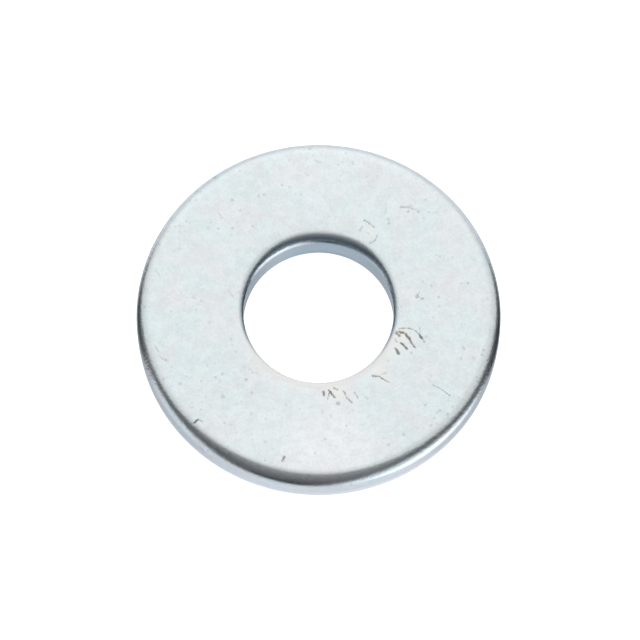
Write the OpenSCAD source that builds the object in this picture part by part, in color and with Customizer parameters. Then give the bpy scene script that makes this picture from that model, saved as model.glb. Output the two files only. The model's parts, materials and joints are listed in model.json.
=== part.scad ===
// Flat washer, wide series, blanked and pierced from steel plate.
// Z is the axis of the bore. The washer lies on its sheared side at Z = 0,
// and its rolled side, the side that the die pulled round, faces up.
// All sizes are in millimetres.

/* [Washer] */
// Outside diameter, across the land of the rim
outer_d = 22.9; // [16:0.1:40]
// Bore diameter, across the land of the bore
bore_d = 9.4; // [5:0.1:16]
// Thickness, from the sheared face to the rolled face
thickness = 2.45; // [1.8:0.05:4]

/* [Rolled edges] */
// Radius of the roll round the top of the rim
rim_roll = 0.9; // [0.2:0.05:1.4]
// Radius of the roll round the top of the bore
bore_roll = 0.7; // [0.2:0.05:1.4]

/* [Sheared edges] */
// Height of the break zone, where the plate tore and did not shear
break_h = 0.7; // [0.2:0.05:1.1]
// How far the break zone draws back from the land on each wall
break_draft = 0.03; // [0.02:0.01:0.3]
// Width and height of the tumbled edge at the foot of each wall
edge_break = 0.05; // [0.04:0.01:0.18]

/* [Hidden] */
$fn = 180;

rim_r = outer_d / 2;
bore_r = bore_d / 2;
// Radii of the two walls where the break zone meets its tumbled edge
rim_foot_r = rim_r - break_draft;
bore_foot_r = bore_r + break_draft;

// Half of the cut face, with its two top corners still square
module sheared_outline() {
    polygon([
        [bore_foot_r + edge_break, 0],
        [rim_foot_r - edge_break, 0],
        [rim_foot_r, edge_break],
        [rim_r, break_h],
        [rim_r, thickness],
        [bore_r, thickness],
        [bore_r, break_h],
        [bore_foot_r, edge_break]
    ]);
}

// The waste above a roll of this radius, on the wall at wall_r.
// side is 1 where the metal lies outside the wall, and -1 where it lies inside.
module roll_waste(wall_r, roll, side) {
    centre = [wall_r + side * roll, thickness - roll];
    difference() {
        translate([min(centre.x, centre.x - side * 2 * roll), centre.y])
            square(2 * roll);
        translate(centre)
            circle(r = roll);
    }
}

module washer() {
    color("#DDE4E6")
        rotate_extrude()
            difference() {
                sheared_outline();
                roll_waste(rim_r, rim_roll, -1);
                roll_waste(bore_r, bore_roll, 1);
            }
}

washer();
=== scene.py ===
import json
import math

import bmesh
import bpy
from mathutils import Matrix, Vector, noise
from mathutils.geometry import intersect_point_line


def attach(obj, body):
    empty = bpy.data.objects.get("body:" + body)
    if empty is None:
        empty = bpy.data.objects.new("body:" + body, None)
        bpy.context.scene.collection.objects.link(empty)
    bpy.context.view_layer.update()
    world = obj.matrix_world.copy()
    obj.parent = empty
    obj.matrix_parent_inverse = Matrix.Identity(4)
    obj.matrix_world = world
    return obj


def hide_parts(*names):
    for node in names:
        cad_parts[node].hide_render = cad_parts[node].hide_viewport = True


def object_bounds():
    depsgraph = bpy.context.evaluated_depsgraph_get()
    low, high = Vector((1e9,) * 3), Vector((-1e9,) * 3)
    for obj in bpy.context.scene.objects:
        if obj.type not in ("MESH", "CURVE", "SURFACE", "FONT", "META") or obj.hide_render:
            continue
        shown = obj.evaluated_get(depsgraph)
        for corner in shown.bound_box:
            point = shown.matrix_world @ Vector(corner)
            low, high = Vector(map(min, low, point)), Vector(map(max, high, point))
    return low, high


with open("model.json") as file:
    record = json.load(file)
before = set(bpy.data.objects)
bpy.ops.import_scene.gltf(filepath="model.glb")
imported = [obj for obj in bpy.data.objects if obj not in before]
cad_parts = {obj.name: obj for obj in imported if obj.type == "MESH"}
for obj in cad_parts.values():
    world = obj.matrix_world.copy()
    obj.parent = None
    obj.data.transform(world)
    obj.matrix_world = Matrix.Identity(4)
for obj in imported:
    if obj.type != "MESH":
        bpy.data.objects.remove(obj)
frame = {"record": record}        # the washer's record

mm = 0.001
cadLow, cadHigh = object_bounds()
print("frame loaded")


def toLinear(hexColour):
    channels = [int(hexColour[i:i + 2], 16) / 255 for i in (1, 3, 5)]
    return [c / 12.92 if c <= 0.04045 else ((c + 0.055) / 1.055) ** 2.4 for c in channels] + [1]


def perMetre(sizeInMm):
    return 1 / (sizeInMm * mm)     # texture scale that gives features of this size


def fade(value, start, end):
    share = min(max((value - start) / (end - start), 0), 1)
    return share * share * (3 - 2 * share)


def positiveNoise(point):
    return min(max(0.5 + 0.5 * noise.noise(point), 0), 1)


# Adds one node, sets what it is given and links its inputs.
# settings are the node's own properties, values are inputs by name or number,
# and links are inputs fed by another node's socket.
def addNode(tree, kind, settings=None, values=None, links=None):
    node = tree.nodes.new("ShaderNode" + kind)
    for name, value in (settings or {}).items():
        setattr(node, name, value)
    for key, value in (values or {}).items():
        node.inputs[key].default_value = value
    for key, socket in (links or {}).items():
        tree.links.new(socket, node.inputs[key])
    return node


def addPiece(bm, name, material):
    for face in bm.faces:
        face.smooth = True
    mesh = bpy.data.meshes.new(name)
    bm.to_mesh(mesh)
    bm.free()
    mesh.materials.append(material)
    piece = bpy.data.objects.new(name, mesh)
    bpy.context.scene.collection.objects.link(piece)
    return piece


# The washer is blanked and pierced in one stroke, so both edges roll on the same side.
washer = {
    "rimRoll": 0.9,          # mm, roll round the rim, on the side that the punch entered
    "breakDraft": 0.03,      # mm, how far the torn zone draws back from the land
    "edgeBreak": 0.05,       # mm, edge rounded off in the tumbling barrel
    "rollSegments": 18,
    "edgeSegments": 3,
    "upperFaceCuts": 34,
    "lowerFaceCuts": 10,
    "landCuts": 6,
    "breakCuts": 5,
    "spinSteps": 640,
}

bore = next(m for m in frame["record"]["mounts"] if m["name"] == "bore")
rimRadius = cadHigh.x
boreRadius = bore["dims"]["r_mm"] * mm
height = cadHigh.z
rimRoll = washer["rimRoll"] * mm
landHalf = bore["dims"]["length_mm"] * mm / 2
breakHeight = bore["pos_m"][2] - landHalf
boreRoll = height - bore["pos_m"][2] - landHalf


def cutEdge(bm, start, end, cuts):
    edge = bm.edges.get((start, end))
    bmesh.ops.subdivide_edges(bm, edges=[edge], cuts=cuts)


def roundCorner(bm, corner, radius, segments):
    bmesh.ops.bevel(
        bm, geom=[corner], offset=radius, offset_type="OFFSET", segments=segments,
        profile=0.5, affect="VERTICES", material=-1)


def nearestVert(bm, radius, z):
    return min(bm.verts, key=lambda v: (v.co.x - radius) ** 2 + (v.co.z - z) ** 2)


def spinWasher():
    w = washer
    rimFoot = rimRadius - w["breakDraft"] * mm
    boreFoot = boreRadius + w["breakDraft"] * mm
    edge = w["edgeBreak"] * mm
    section = [
        (boreFoot, 0), (rimFoot, 0), (rimRadius, breakHeight), (rimRadius, height),
        (boreRadius, height), (boreRadius, breakHeight),
    ]
    bm = bmesh.new()
    corners = [bm.verts.new((r, 0, z)) for r, z in section]
    bm.faces.new(corners)
    roundCorner(bm, corners[3], rimRoll, w["rollSegments"])
    roundCorner(bm, nearestVert(bm, boreRadius, height), boreRoll, w["rollSegments"])
    roundCorner(bm, nearestVert(bm, rimFoot, 0), edge, w["edgeSegments"])
    roundCorner(bm, nearestVert(bm, boreFoot, 0), edge, w["edgeSegments"])
    bmesh.ops.delete(bm, geom=list(bm.faces), context="FACES_ONLY")

    flats = [
        ((boreRadius + boreRoll, height), (rimRadius - rimRoll, height), w["upperFaceCuts"]),
        ((boreFoot + edge, 0), (rimFoot - edge, 0), w["lowerFaceCuts"]),
        ((rimRadius, height - rimRoll), (rimRadius, breakHeight), w["landCuts"]),
        ((boreRadius, height - boreRoll), (boreRadius, breakHeight), w["landCuts"]),
        ((rimFoot, edge), (rimRadius, breakHeight), w["breakCuts"]),
        ((boreFoot, edge), (boreRadius, breakHeight), w["breakCuts"]),
    ]
    for start, end, cuts in flats:
        cutEdge(bm, nearestVert(bm, *start), nearestVert(bm, *end), cuts)
    bmesh.ops.spin(
        bm, geom=list(bm.verts) + list(bm.edges), cent=(0, 0, 0), axis=(0, 0, 1),
        angle=2 * math.pi, steps=w["spinSteps"], use_merge=True)
    bmesh.ops.recalc_face_normals(bm, faces=list(bm.faces))
    return bm


# Marks from handling, on the rolled side. Places are mm in the washer's plane.
marks = {
    "scratches": [
        # (points along it, width in mm, how dark)
        # beside the bore, where a bolt's edge has bitten
        ([(5.0, -1.25), (5.6, -1.2), (6.05, -1.35)], 0.1, 0.55),
        ([(6.05, -1.35), (6.35, -1.75), (6.6, -2.1)], 0.16, 0.9),
        ([(6.3, -1.2), (6.35, -1.7)], 0.09, 0.55),
        ([(5.1, -1.45), (5.45, -1.6), (5.65, -1.9)], 0.2, 0.9),
        ([(5.65, -1.9), (5.8, -2.2), (6.05, -2.5)], 0.14, 0.75),
        ([(4.9, -1.5), (5.0, -1.7)], 0.26, 0.7),
        ([(5.15, -2.2), (5.3, -2.3), (5.5, -2.6)], 0.17, 0.85),
        ([(4.8, -2.55), (5.0, -2.9)], 0.19, 0.8),
        ([(4.75, -1.9), (4.9, -2.1)], 0.12, 0.35),
        # in front, on the right
        ([(3.4, -4.35), (3.8, -4.4), (4.15, -4.65)], 0.13, 0.75),
        ([(4.15, -4.65), (4.4, -4.75)], 0.1, 0.35),
        ([(3.95, -4.25), (4.2, -4.15)], 0.09, 0.35),
        # in front
        ([(0.35, -5.4), (0.4, -5.65)], 0.15, 0.75),
        ([(0.7, -5.3), (1.05, -5.8)], 0.15, 0.85),
        ([(0.7, -5.45), (0.6, -5.85)], 0.12, 0.65),
        ([(0.95, -5.15), (1.2, -5.25)], 0.13, 0.55),
        ([(1.6, -5.35), (1.8, -5.8)], 0.15, 0.7),
        ([(1.8, -5.8), (2.1, -6.1)], 0.11, 0.55),
        ([(2.3, -5.5), (2.5, -5.85)], 0.11, 0.4),
        # behind, on the right
        ([(2.9, 5.95), (3.2, 5.75), (3.5, 5.5)], 0.13, 0.5),
        ([(2.6, 5.3), (2.8, 5.5)], 0.11, 0.3),
        ([(3.7, 4.95), (3.55, 4.6), (3.25, 4.4)], 0.11, 0.42),
        ([(3.2, 5.1), (3.3, 4.8)], 0.1, 0.3),
        ([(5.2, 6.85), (5.7, 6.8), (6.15, 6.65)], 0.12, 0.34),
        ([(5.6, 6.5), (5.75, 6.7)], 0.12, 0.32),
        ([(4.3, 7.15), (4.2, 6.45)], 0.06, 0.2),
        ([(6.9, 6.5), (7.2, 6.45)], 0.12, 0.18),
        # lone ones, out on the face
        ([(-7.8, -7.6), (-7.4, -7.2)], 0.16, 0.9),
        ([(-7.4, -7.2), (-7.1, -7.35)], 0.11, 0.5),
        ([(-2.1, -9.7), (-2.15, -9.85)], 0.24, 0.75),
        ([(7.1, -4.95), (7.4, -5.1)], 0.06, 0.4),
        ([(7.4, -5.1), (7.8, -5.35), (8.15, -5.65)], 0.08, 0.75),
        ([(-10.1, -2.4), (-9.85, -2.8)], 0.08, 0.3),
        ([(-9.85, -3.0), (-9.6, -3.25)], 0.08, 0.22),
        ([(-5.4, -1.95), (-5.3, -2.4), (-5.05, -2.8)], 0.13, 0.18),
        ([(-5.6, 1.3), (-5.3, 0.9)], 0.1, 0.18),
        ([(-4.9, 1.2), (-4.8, 0.9)], 0.08, 0.18),
        ([(-10.1, 2.6), (-9.8, 2.2)], 0.08, 0.14),
        ([(-6.2, 6.4), (-6.0, 6.1)], 0.1, 0.15),
        ([(-0.2, 10.0), (0.15, 9.85)], 0.16, 0.18),
        ([(-0.8, 9.1), (-0.65, 8.95)], 0.12, 0.17),
    ],
    "dots": [
        # (place, radius in mm, how dark)
        ((6.15, 0.9), 0.14, 0.75),
        ((6.5, 0.75), 0.1, 0.4),
        ((1.25, -6.15), 0.12, 0.4),
        ((9.05, -2.55), 0.1, 0.4),
        ((5.35, -8.2), 0.12, 0.3),
        ((4.3, -8.9), 0.12, 0.25),
        ((-5.4, 7.35), 0.12, 0.28),
        ((-3.4, 7.65), 0.11, 0.27),
        ((-3.7, 7.6), 0.1, 0.2),
        ((-5.85, -5.4), 0.12, 0.22),
        ((-5.9, -5.7), 0.11, 0.2),
        ((-8.5, -4.9), 0.12, 0.22),
        ((-8.9, -5.0), 0.1, 0.2),
        ((-4.1, -6.9), 0.12, 0.18),
    ],
    "scuffs": [
        # (place, radius in mm, how far it is rubbed)
        ((5.3, -1.8), 1.2, 0.7),
        ((1.2, -5.5), 1.2, 0.7),
        ((4.0, -4.5), 1.0, 0.6),
        ((3.3, 5.2), 0.9, 0.55),
        ((-2.0, -5.2), 1.2, 0.3),
        ((3.5, -3.9), 1.5, 0.6),
        ((4.9, -2.7), 1.3, 0.7),
    ],
    "paintedSheenPatches": [
        # (place, radius in mm, how pale): painted sheen, the face painted whiter as if it mirrored more
        # light, at the front and the back
        ((0.5, -9.4), 5.5, 1.0),
        ((-3.0, -8.0), 4.5, 0.35),
        ((0, 10.5), 5.0, 0.3),
    ],
    # a knock on the rim: its wear, and the share of its radius that is worn
    "nick": {"place": (-6.5, 9.0), "radius": 0.32, "depth": 0.05, "wear": 0.45, "wornShare": 0.7},
    "spread": 1.008,         # every place is moved out by this factor
    "shift": (-0.04, 0),     # and then by this many mm
    "faceDepth": 0.05,       # mm below the top that still counts as the upper face
    "depthShare": 0.09,      # depth of a scratch, as a share of its width
    "raggedSize": 0.1,       # mm, grain of a scratch's torn edges
    "ragged": 1.2,           # how much of a scratch the grain eats
    "gapSize": 0.4,          # mm, length over which a scratch comes and goes
    "gappy": 1.2,
    "reach": 1.5,            # half widths that a dark mark spreads
    "faintBlur": 0.9,        # and how many more a faint one does
    "edgeFade": (0, 0.5),    # how a mark sets in, where its edge is 0 and its middle is 1
    "eatenFade": (0.25, 1),  # and how it does once the grain has eaten it
    "refineWithin": 0.2,     # mm past a mark's edge that gets the finer mesh
    "refineCuts": 2,
}


def markPlace(place):
    return (Vector(place) * marks["spread"] + Vector(marks["shift"])) * mm


# Each straight stretch of a scratch, and each dot, as (start, end, half width, darkness)
def markParts():
    parts = []
    for points, width, dark in marks["scratches"]:
        for start, end in zip(points, points[1:]):
            parts.append((markPlace(start), markPlace(end), width * mm / 2, dark))
    for place, radius, dark in marks["dots"]:
        parts.append((markPlace(place), markPlace(place), radius * mm, dark))
    return parts


def distanceToPart(point, start, end):
    if start == end:
        return (point - start).length
    nearest, share = intersect_point_line(point, start, end)
    nearest = start if share < 0 else end if share > 1 else nearest
    return (point - nearest).length


def isUpperFace(vert):
    return vert.co.z > height - marks["faceDepth"] * mm


def refineAroundMarks(bm, parts):
    chosen = []
    for edge in bm.edges:
        if not all(isUpperFace(v) for v in edge.verts):
            continue
        middle = ((edge.verts[0].co + edge.verts[1].co) / 2).xy
        for start, end, halfWidth, dark in parts:
            reach = halfWidth + marks["refineWithin"] * mm
            if (middle - start).length > (end - start).length + reach:
                continue
            if distanceToPart(middle, start, end) < reach:
                chosen.append(edge)
                break
    bmesh.ops.subdivide_edges(bm, edges=chosen, cuts=marks["refineCuts"], use_grid_fill=True)
    # faces on the border have points along their sides, so they are fanned from the middle
    bmesh.ops.poke(bm, faces=[f for f in bm.faces if len(f.verts) > 4])


# How the press and the barrel leave the metal, in mm
unevenness = {
    "rimFall": 0.009,        # the face falls this far before the roll of the rim starts
    "boreFall": 0.024,       # and this far before the roll of the bore
    "fallReach": 0.8,        # over this distance
    "rollDip": 0.02,         # the roll runs a little deeper in places
    "rollLobe": 5.0,         # length of those places along the edge
    "dragDepth": 0.013,      # fine lines that the die drags down the land
    "dragPitch": 0.28,
    "dragRun": 0.4,          # length of a line, down the wall
    "tearDepth": 0.018,      # grain of the torn zone
    "tearGrain": 0.28,
    "tearStart": 0.25,       # share of the break zone over which the tear sets in
    "rollNarrow": 0.43,      # how much the bore's roll narrows away from the far side
    "narrowFrom": 35,        # degrees round from there
    "narrowFull": 90,
    "narrowReach": 1.2,      # distance over which the face stretches to meet it
    "faceWave": 0.006,       # the faces are not quite flat
    "faceWaveLength": 3.5,
    "faceWaveShift": (2, 5, 0),
    "wallSlant": 60,         # degrees, a steeper place counts as wall
}


def boreRollAt(place):
    u = unevenness
    turn = abs(math.degrees(math.atan2(place.x, place.y)))
    return boreRoll * (1 - u["rollNarrow"] * fade(turn, u["narrowFrom"], u["narrowFull"]))


# The punch leaned a little, so the bore is rolled most on the far side
def narrowBoreRoll(bm):
    reach = unevenness["narrowReach"] * mm
    land = height - boreRoll - breakHeight
    for v in bm.verts:
        radius = math.hypot(v.co.x, v.co.y)
        away, drop = radius - boreRadius, height - v.co.z
        if away > boreRoll + reach or v.co.z <= breakHeight:
            continue
        roll = boreRollAt(v.co)
        if away > boreRoll:
            away -= (boreRoll - roll) * (1 - (away - boreRoll) / reach)
        elif drop > boreRoll:
            drop -= (boreRoll - roll) * (1 - (drop - boreRoll) / land)
        else:
            away, drop = away * roll / boreRoll, drop * roll / boreRoll
        scale = (boreRadius + away) / radius
        v.co = Vector((v.co.x * scale, v.co.y * scale, height - drop))


# How far the face has softly fallen at this vertex. Where the roll takes over, the fall keeps
# its slope at first and then dies away down the roll, so that there is no kink.
def softFall(radius, onRim, slant, roll):
    reach = unevenness["fallReach"] * mm
    drop = unevenness["rimFall" if onRim else "boreFall"] * mm
    toRoll = rimRadius - roll - radius if onRim else radius - boreRadius - roll
    if toRoll > 0:
        return drop * max(1 - toRoll / reach, 0) ** 2
    return (drop + 2 * drop / reach * roll * math.sin(slant)) * math.cos(slant) ** 2


def roughenPress(bm):
    u = unevenness
    nick = marks["nick"]
    bm.normal_update()
    moves = []
    for v in bm.verts:
        radius = math.hypot(v.co.x, v.co.y)
        onRim = radius > (rimRadius + boreRadius) / 2
        roll = rimRoll if onRim else boreRollAt(v.co)
        ring = Vector((v.co.x, v.co.y, 0)) / radius * (rimRadius if onRim else boreRadius)
        down = Vector((0, 0, v.co.z / (u["dragRun"] * mm)))
        drag = u["dragDepth"] * mm * positiveNoise(ring / (u["dragPitch"] * mm) + down)
        slant = math.acos(min(abs(v.normal.z), 1))
        onWall = slant > math.radians(u["wallSlant"])
        dip = 0
        if v.co.z > height - roll:
            lobe = positiveNoise(ring / (u["rollLobe"] * mm))
            steep = 1 - math.cos(slant)
            dip += softFall(radius, onRim, slant, roll)
            dip += u["rollDip"] * mm * lobe * 4 * steep * (1 - steep)     # most half way down the roll
            dip += drag * steep
            knock = (v.co.xy - markPlace(nick["place"])).length
            dip += nick["depth"] * mm * fade(knock, nick["radius"] * mm, 0)
        elif v.co.z > breakHeight and onWall:
            dip += drag
        elif onWall:
            deep = fade(breakHeight - v.co.z, 0, u["tearStart"] * breakHeight)
            tear = u["tearDepth"] * mm * positiveNoise(v.co / (u["tearGrain"] * mm))
            dip += deep * tear + (1 - deep) * drag
        if not onWall:
            wave = positiveNoise(v.co / (u["faceWaveLength"] * mm) + Vector(u["faceWaveShift"]))
            dip += u["faceWave"] * mm * wave * math.cos(slant)
        moves.append(dip)
    for v, dip in zip(list(bm.verts), moves):
        v.co -= v.normal * dip


# Where the plate differs from place to place: a thin coat in the bore, darkened further as painted
# shade, and a painted glare on the front of its roll.
# Depths down the roll are shares of its height, so that past 1 the land starts.
coatParts = {
    "boreStart": 0.05,       # depth where the thin coat of the bore, darkened further as painted shade, sets in
    "boreFull": 0.3,
    "landStart": 0.75,       # but only from this depth in front, so that the roll there is not darkened
    "dullUntil": 100,        # degrees round from the far side, up to where the roll is darkened
    "brightFrom": 165,       # and from where only the land is
    "sideShare": 0.3,        # how much less the sides are darkened, as the painted shade is deepest at the back
    "sideFrom": 15,
    "sideFull": 60,
    "burnish": 0.65,         # how much less the end of the roll is darkened
    "lessenedTurn": (2, -12),         # degrees, behind and to the left
    "lessenedRoll": (0.45, 0.6),      # depth where it sets in
    "burnishLand": (1.1, 0.95),      # and where it ends
    "frostedGlareTurn": (95, 140),        # degrees round from the far side, where the barrel dulled the roll and where it is painted whiter as a painted glare
    "frostedGlareRoll": (0.01, 0.1),
    "frostedGlareLand": (1.2, 1),
    "rolledNormal": (0.99, 0.85),    # upward share of the normal, from flat to rolled
    "wallNormal": 0.9,               # the break zone's wall has less than this
    "tornStart": 0.3,        # share of the break zone over which the torn look sets in
}
# the painted layers: a painted sheen on the face, and painted shade and painted glare in the bore,
# beside real wear and scuffs
paintNames = ("wear", "scuff", "paintedSheen", "boreCoatAndShade", "frostedAndGlare", "rolled", "torn")


# How thin the coat is on the bore, darkened further as painted shade at the back of the bore, and how
# frosted its roll is, with a painted glare
def boreCoatAndShadeAt(vert):
    c = coatParts
    depth = (height - vert.co.z) / boreRollAt(vert.co)
    turn = math.degrees(math.atan2(vert.co.x, vert.co.y))     # from the far side, right is positive
    later = c["landStart"] * fade(abs(turn), c["dullUntil"], c["brightFrom"])
    coatAndShade = fade(depth, c["boreStart"] + later, c["boreFull"] + later)
    coatAndShade *= 1 - c["sideShare"] * fade(abs(turn), c["sideFrom"], c["sideFull"])
    lessened = fade(depth, *c["lessenedRoll"]) * fade(depth, *c["burnishLand"])
    coatAndShade *= 1 - c["burnish"] * lessened * fade(turn, *c["lessenedTurn"])
    frostedAndGlare = fade(depth, *c["frostedGlareRoll"]) * fade(depth, *c["frostedGlareLand"])
    return coatAndShade, frostedAndGlare * fade(abs(turn), *c["frostedGlareTurn"])


# How strongly the scratches and dots mark this place. The grain eats their edges,
# and the faint ones are blurred.
def markStrength(vert, parts):
    grain = positiveNoise(vert.co / (marks["raggedSize"] * mm)) - 0.5
    gaps = positiveNoise(vert.co / (marks["gapSize"] * mm)) - 0.5
    eaten = grain * marks["ragged"] + gaps * marks["gappy"]
    strongest = 0
    widest = 0
    for start, end, halfWidth, dark in parts:
        reach = halfWidth * (marks["reach"] + marks["faintBlur"] * (1 - dark))
        if (vert.co.xy - start).length > (end - start).length + reach:
            continue
        near = 1 - distanceToPart(vert.co.xy, start, end) / reach
        if near <= 0:
            continue
        cut = dark * fade(near + eaten, *marks["eatenFade"]) * fade(near, *marks["edgeFade"])
        if cut > strongest:
            strongest = cut
            widest = halfWidth * 2
    return strongest, widest


def patchStrength(place, patches):
    strengths = [amount * fade((place - markPlace(centre)).length, reach * mm, 0)
                 for centre, reach, amount in patches]
    return max(strengths)


def paintFinish(bm, parts):
    c = coatParts
    paint = {name: bm.verts.layers.float.new(name) for name in paintNames}
    nick = marks["nick"]
    worn = nick["radius"] * nick["wornShare"] * mm
    for v in bm.verts:
        if isUpperFace(v):
            wear, width = markStrength(v, parts)
            v[paint["wear"]] = wear
            v.co.z -= marks["depthShare"] * width * wear
            v[paint["scuff"]] = patchStrength(v.co.xy, marks["scuffs"])
            # painted sheen on the upper face
            v[paint["paintedSheen"]] = patchStrength(v.co.xy, marks["paintedSheenPatches"])
        if v.co.z > height - rimRoll:
            knock = (v.co.xy - markPlace(nick["place"])).length
            v[paint["wear"]] = max(v[paint["wear"]], nick["wear"] * fade(knock, worn, 0))
        # the bore's thin coat with its painted shade, and its frosted roll with a painted glare
        if math.hypot(v.co.x, v.co.y) < boreRadius + boreRoll:
            v[paint["boreCoatAndShade"]], v[paint["frostedAndGlare"]] = boreCoatAndShadeAt(v)
        v[paint["rolled"]] = fade(abs(v.normal.z), *c["rolledNormal"])
        if v.co.z < breakHeight and abs(v.normal.z) < c["wallNormal"]:
            v[paint["torn"]] = fade(breakHeight - v.co.z, 0, c["tornStart"] * breakHeight)


# Zinc plate on mild steel, barrel plated, with a clear blue passivate: a satin bright metal
# with a faint green-blue cast that breaks into warmer clouds, and flecks where the coat is thin.
zincPlate = {
    "coolColour": "#DFEBED",
    "warmColour": "#E6EAED",
    # painted sheen: a whiter face where it should mirror more light
    "paintedSheenColour": "#F0F3F6",
    "fleckColour": "#8F928F",
    "wearColour": "#5F6160",       # bruised zinc
    "oxideColour": "#7D756B",      # steel oxide in parts of the scratch
    "scuffColour": "#EFEEE6",
    # painted glare: the frosted roll at the front of the bore painted whiter
    "paintedGlareColour": "#FDFDFB",
    "boreCoatAndShadeColour": "#A4B6BF",       # little current reaches a bore, so its coat is thin; painted shade darkens it further, most at the back of the bore
    "tornColour": "#F0F4F8",
    # noises as (size in mm, level where it starts, level where it is full, detail)
    "clouds": (2.4, 0.35, 0.65, 3),
    "mottle": (0.55, 0.3, 0.7, 2),         # soft patches that the barrel leaves
    "grain": (0.15, 0.3, 0.7, 2),          # dents from the barrel, as coarse as they need to show
    "fleckCrowds": (1.5, 0.42, 0.65, 1),
    "noiseRoughness": 0.55,
    "mottleContrast": 0.1,
    "grainContrast": 0.08,
    "fleckSpacing": 0.45,          # mm
    "fleckShare": (0.32, 0.1),     # of the spacing, where a fleck ends and where it is full
    "fleckDark": 0.42,
    "roughness": 0.24,
    "roughnessSpread": 0.03,
    "wearRoughness": 0.5,
    "tornRoughness": 0.36,
    "frostedRoughness": 0.75,
    "grainRelief": 0.0006,         # mm, on the faces
    "rollRelief": 0.005,           # mm, on the rolls and walls
    "fleckRelief": 0.0015,         # mm
}


# A noise of this size in mm, as a share that runs from 0 to 1 between two levels
def noiseShare(tree, place, size, low, high, detail):
    cloud = addNode(tree, "TexNoise", values={
        "Scale": perMetre(size), "Detail": detail, "Roughness": zincPlate["noiseRoughness"]}, links={
        "Vector": place})
    share = addNode(tree, "MapRange", {"interpolation_type": "SMOOTHSTEP"}, {
        "From Min": low, "From Max": high}, {"Value": cloud.outputs["Fac"]})
    return share.outputs["Result"]


def product(tree, first, second):
    return addNode(tree, "Math", {"operation": "MULTIPLY"}, links={0: first, 1: second}).outputs[0]


# Mixes the colour so far towards a second one, by a share times a strength
def tinted(tree, colour, second, share, strength=1):
    factor = addNode(tree, "Math", {"operation": "MULTIPLY"}, {1: strength}, {0: share})
    mix = addNode(tree, "Mix", {"data_type": "RGBA"}, {7: toLinear(second)}, {
        0: factor.outputs[0], 6: colour})
    return mix.outputs[2]


def twoColours(tree, first, second, share):
    mix = addNode(tree, "Mix", {"data_type": "RGBA"}, {
        6: toLinear(first), 7: toLinear(second)}, {0: share})
    return mix.outputs[2]


def roughened(tree, rough, second, share):
    return addNode(tree, "Mix", {"data_type": "FLOAT"}, {3: second}, {0: share, 2: rough}).outputs[0]


# Small flecks, one in each cell, that differ in strength and stand in crowds
def fleckShares(tree, place):
    z = zincPlate
    crowds = noiseShare(tree, place, *z["fleckCrowds"])
    cells = addNode(tree, "TexVoronoi", values={"Scale": perMetre(z["fleckSpacing"])}, links={
        "Vector": place})
    specks = addNode(tree, "MapRange", {"interpolation_type": "SMOOTHSTEP"}, {
        "From Min": z["fleckShare"][0], "From Max": z["fleckShare"][1]}, {
        "Value": cells.outputs["Distance"]})
    strength = addNode(tree, "SeparateXYZ", links={"Vector": cells.outputs["Color"]})
    uneven = product(tree, specks.outputs["Result"], strength.outputs["X"])
    return product(tree, crowds, uneven)


def plateColour(tree, painted, noises):
    z = zincPlate
    rubbed = product(tree, painted["scuff"], noises["mottle"])
    colour = twoColours(tree, z["coolColour"], z["warmColour"], noises["clouds"])
    # painted sheen, where the face should mirror more light
    colour = tinted(tree, colour, z["paintedSheenColour"], painted["paintedSheen"])
    colour = tinted(tree, colour, z["fleckColour"], noises["mottle"], z["mottleContrast"])
    colour = tinted(tree, colour, z["fleckColour"], noises["grain"], z["grainContrast"])
    colour = tinted(tree, colour, z["fleckColour"], noises["flecks"], z["fleckDark"])
    colour = tinted(tree, colour, z["scuffColour"], rubbed)
    colour = tinted(tree, colour, z["tornColour"], painted["torn"])
    # the bore's thin coat, darkened further as painted shade at the back
    colour = tinted(tree, colour, z["boreCoatAndShadeColour"], painted["boreCoatAndShade"])
    # painted glare on the front of the bore's roll
    colour = tinted(tree, colour, z["paintedGlareColour"], painted["frostedAndGlare"])
    bruise = twoColours(tree, z["wearColour"], z["oxideColour"], noises["mottle"])
    worn = addNode(tree, "Mix", {"data_type": "RGBA"}, links={0: painted["wear"], 6: colour, 7: bruise})
    return worn.outputs[2]


def plateRoughness(tree, painted, clouds):
    z = zincPlate
    satin = addNode(tree, "MapRange", values={
        "To Min": z["roughness"] - z["roughnessSpread"],
        "To Max": z["roughness"] + z["roughnessSpread"]}, links={"Value": clouds})
    rough = roughened(tree, satin.outputs["Result"], z["tornRoughness"], painted["torn"])
    rough = roughened(tree, rough, z["frostedRoughness"], painted["frostedAndGlare"])
    return roughened(tree, rough, z["wearRoughness"], painted["wear"])


def plateRelief(tree, painted, noises):
    z = zincPlate
    grainBump = addNode(tree, "Bump", values={
        "Strength": 1, "Distance": z["grainRelief"] * mm}, links={"Height": noises["grain"]})
    rollBump = addNode(tree, "Bump", values={"Strength": 1, "Distance": z["rollRelief"] * mm}, links={
        "Height": product(tree, noises["grain"], painted["rolled"]),
        "Normal": grainBump.outputs["Normal"]})
    fleckBump = addNode(tree, "Bump", {"invert": True}, {
        "Strength": 1, "Distance": z["fleckRelief"] * mm}, {
        "Height": noises["flecks"], "Normal": rollBump.outputs["Normal"]})
    return fleckBump.outputs["Normal"]


def makeZincPlate():
    material = bpy.data.materials.new("zincPlatedSteel")
    material.use_nodes = True
    tree = material.node_tree
    shader = tree.nodes["Principled BSDF"]
    place = addNode(tree, "TexCoord").outputs["Object"]
    noises = {name: noiseShare(tree, place, *zincPlate[name]) for name in ("clouds", "mottle", "grain")}
    noises["flecks"] = fleckShares(tree, place)
    painted = {
        name: addNode(tree, "Attribute", {"attribute_name": name}).outputs["Fac"]
        for name in paintNames}
    tree.links.new(plateColour(tree, painted, noises), shader.inputs["Base Color"])
    tree.links.new(plateRoughness(tree, painted, noises["clouds"]), shader.inputs["Roughness"])
    tree.links.new(plateRelief(tree, painted, noises), shader.inputs["Normal"])
    shader.inputs["Metallic"].default_value = 1
    return material


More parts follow.
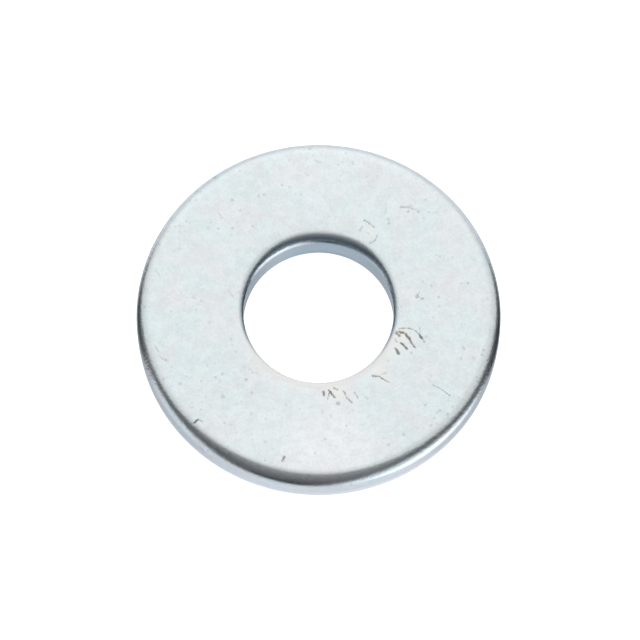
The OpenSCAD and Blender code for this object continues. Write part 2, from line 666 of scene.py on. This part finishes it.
def buildWasher():
    bm = spinWasher()
    narrowBoreRoll(bm)
    parts = markParts()
    refineAroundMarks(bm, parts)
    roughenPress(bm)
    paintFinish(bm, parts)
    bmesh.ops.recalc_face_normals(bm, faces=list(bm.faces))
    return addPiece(bm, "platedWasher", makeZincPlate())


platedWasher = buildWasher()
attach(platedWasher, "root")
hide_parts("washer")
triangles = sum(len(p.vertices) - 2 for p in platedWasher.data.polygons)
print("washer built,", triangles, "triangles")


# The floor is a white sweep that turns up all round, so that no view sees past it.
sweep = {
    "radius": 0.5,           # m
    "lip": 0.12,             # m, height of the turned-up edge
    "bend": 0.09,            # m
    "bendSegments": 8,
    "steps": 96,
    "gap": 0.002,            # mm, the washer's lower face stays clear of the paper
    "weld": 0.01,            # mm, points this close become one, at the centre
    "colour": "#F4F5F6",
    "roughness": 0.9,
    "glow": 0.97,            # keeps the paper white under the tent
}


def makeWhitePaper():
    material = bpy.data.materials.new("whitePaper")
    material.use_nodes = True
    shader = material.node_tree.nodes["Principled BSDF"]
    shader.inputs["Base Color"].default_value = toLinear(sweep["colour"])
    shader.inputs["Roughness"].default_value = sweep["roughness"]
    shader.inputs["Emission Color"].default_value = toLinear(sweep["colour"])
    shader.inputs["Emission Strength"].default_value = sweep["glow"]
    return material


def buildSweep():
    bm = bmesh.new()
    floorLevel = -sweep["gap"] * mm
    corner = (sweep["radius"], 0, floorLevel)
    lip = (sweep["radius"], 0, sweep["lip"])
    verts = [bm.verts.new(p) for p in ((0, 0, floorLevel), corner, lip)]
    for start, end in zip(verts, verts[1:]):
        bm.edges.new((start, end))
    roundCorner(bm, verts[1], sweep["bend"], sweep["bendSegments"])
    bmesh.ops.spin(
        bm, geom=list(bm.verts) + list(bm.edges), cent=(0, 0, 0), axis=(0, 0, 1),
        angle=2 * math.pi, steps=sweep["steps"], use_merge=True)
    bmesh.ops.remove_doubles(bm, verts=list(bm.verts), dist=sweep["weld"] * mm)
    bmesh.ops.recalc_face_normals(bm, faces=list(bm.faces))
    if max(bm.faces, key=lambda f: f.calc_area()).normal.z < 0:
        bmesh.ops.reverse_faces(bm, faces=list(bm.faces))
    floor = addPiece(bm, "whiteSweep", makeWhitePaper())
    floor.visible_glossy = False     # the metal mirrors the tent and the table, not this sheet
    return floor


buildSweep()
print("floor laid")


# The light is a tent, open on the camera's side, where the metal sees the dark room
# between the tent's edge above and the table's edge below.
studio = {
    "tent": "#FFFFFF",
    "tentLevel": 0.85,
    "room": "#FBFBFF",
    "roomLow": 0.045,
    "roomHigh": 0.29,
    "roomLowAt": -20,        # degrees of elevation
    "roomHighAt": 50,
    "table": "#EDF0F7",
    "tableLevel": 0.96,
    # (degrees round from the far side, with the left below 0, and elevation)
    "tentEdge": [
        (-180, 69), (-160, 69), (-140, 76), (-120, 75), (-100, 48), (-80, 26), (-60, 2), (-40, 2),
        (-20, 3), (0, 0), (20, 1), (40, 2), (60, -5), (80, 18), (100, 25), (120, 47), (140, 70),
        (160, 73), (180, 69)],
    "tableEdge": [
        (-180, -39), (-160, -33), (-140, -17), (-120, 4), (-100, 7), (-80, -41), (-60, -36),
        (-48, -4), (-38, 8), (-20, 6), (0, 6), (20, 6), (38, 7), (48, -4), (60, -43), (80, -50),
        (100, -15), (120, 0), (140, 10), (160, -2), (180, -39)],
    "tentBlur": 13,          # degrees
    "tableBlur": 14,
    # (azimuth, elevation, spread, level), all but the level in degrees
    "spots": [
        (0, 40, 55, 0.275),      # the tent's back wall, with the lamps behind it
        (132, -34, 31, 0.72),    # a lamp low on the right
        (118, 30, 36, -0.07),    # dark corners of the room
        (-118, 30, 36, -0.07),
        (-65, -58, 32, -0.28),   # the table in the shade of the lamp stands
        (55, -58, 30, -0.3),
    ],
}


# An angle as a share of its whole range, from minus the limit to the limit
def angleShare(tree, angle, limit):
    share = addNode(tree, "MapRange", values={
        "From Min": -limit, "From Max": limit}, links={"Value": angle})
    return share.outputs["Result"]


# The elevation of an edge all round, as a share from straight down to straight up
def edgeCurve(tree, points, across):
    node = addNode(tree, "FloatCurve", links={"Value": across})
    curve = node.mapping.curves[0]
    places = [(azimuth / 360 + 0.5, elevation / 180 + 0.5) for azimuth, elevation in points]
    for place in places[1:-1]:
        curve.points.new(*place)
    curve.points[0].location = places[0]
    curve.points[-1].location = places[-1]
    for point in curve.points:
        point.handle_type = "AUTO_CLAMPED"
    node.mapping.update()
    return node.outputs[0]


def softStep(tree, value, threshold, blur):
    over = addNode(tree, "Math", {"operation": "SUBTRACT"}, links={0: value, 1: threshold})
    step = addNode(tree, "MapRange", {"interpolation_type": "SMOOTHSTEP"}, {
        "From Min": -blur / 180, "From Max": blur / 180}, {"Value": over.outputs[0]})
    return step.outputs["Result"]


def addSpot(tree, direction, azimuth, elevation, spread, level):
    turn, tilt = math.radians(azimuth), math.radians(elevation)
    way = (math.sin(turn) * math.cos(tilt), math.cos(turn) * math.cos(tilt), math.sin(tilt))
    facing = addNode(tree, "VectorMath", {"operation": "DOT_PRODUCT"}, {1: way}, {0: direction})
    spot = addNode(tree, "MapRange", {"interpolation_type": "SMOOTHSTEP"}, {
        "From Min": math.cos(math.radians(spread)), "From Max": 1, "To Max": level}, {
        "Value": facing.outputs["Value"]})
    return spot.outputs["Result"]


def litColour(hexColour, level):
    return [c * level for c in toLinear(hexColour)[:3]]


def buildStudio():
    s = studio
    world = bpy.data.worlds.new("lightTent")
    bpy.context.scene.world = world
    world.use_nodes = True
    tree = world.node_tree
    backdrop = tree.nodes["Background"]
    direction = addNode(tree, "TexCoord").outputs["Generated"]
    xyz = addNode(tree, "SeparateXYZ", links={"Vector": direction})
    turn = addNode(tree, "Math", {"operation": "ARCTAN2"}, links={
        0: xyz.outputs["X"], 1: xyz.outputs["Y"]})
    across = angleShare(tree, turn.outputs[0], math.pi)
    tilt = addNode(tree, "Math", {"operation": "ARCSINE"}, links={0: xyz.outputs["Z"]})
    elevation = angleShare(tree, tilt.outputs[0], math.pi / 2)

    inTent = softStep(tree, elevation, edgeCurve(tree, s["tentEdge"], across), s["tentBlur"])
    overTable = softStep(tree, elevation, edgeCurve(tree, s["tableEdge"], across), s["tableBlur"])
    roomLevel = addNode(tree, "MapRange", values={
        "From Min": s["roomLowAt"] / 180 + 0.5, "From Max": s["roomHighAt"] / 180 + 0.5,
        "To Min": s["roomLow"], "To Max": s["roomHigh"]}, links={"Value": elevation})
    room = addNode(tree, "VectorMath", {"operation": "SCALE"}, {0: litColour(s["room"], 1)}, {
        "Scale": roomLevel.outputs["Result"]}).outputs[0]
    lower = addNode(tree, "Mix", {"data_type": "VECTOR"}, {
        4: litColour(s["table"], s["tableLevel"])}, {0: overTable, 5: room})
    shown = addNode(tree, "Mix", {"data_type": "VECTOR"}, {
        5: litColour(s["tent"], s["tentLevel"])}, {0: inTent, 4: lower.outputs[1]}).outputs[1]
    for spot in s["spots"]:
        glow = addSpot(tree, direction, *spot)
        shown = addNode(tree, "VectorMath", {"operation": "ADD"}, links={0: shown, 1: glow}).outputs[0]
    tree.links.new(shown, backdrop.inputs["Color"])
    bpy.context.scene.view_settings.view_transform = "Standard"


buildStudio()
print("studio lit")


# A long lens, high over the near side
camera = {
    "elevation": 70,         # degrees above the floor
    "distance": 0.327,       # m
    "fieldWidth": 40.37,     # mm seen across the frame at the washer
    "aim": (0.09, 0.2),      # mm, right of the bore's axis and up from it, as the camera sees it
    "sensor": 36,            # mm
    "clip": (0.01, 10),      # m
}


def buildCamera():
    data = bpy.data.cameras.new("camera")
    lens = bpy.data.objects.new("camera", data)
    bpy.context.scene.collection.objects.link(lens)
    tilt = math.radians(camera["elevation"])
    back = Vector((0, -math.cos(tilt), math.sin(tilt)))
    up = Vector((0, math.sin(tilt), math.cos(tilt)))
    aim = Vector((1, 0, 0)) * camera["aim"][0] * mm + up * camera["aim"][1] * mm
    lens.location = aim + back * camera["distance"]
    lens.rotation_euler = (-back).to_track_quat("-Z", "Y").to_euler()
    data.sensor_width = camera["sensor"]
    data.lens = camera["sensor"] * camera["distance"] / (camera["fieldWidth"] * mm)
    data.clip_start, data.clip_end = camera["clip"]
    bpy.context.scene.camera = lens


buildCamera()
print("camera set")
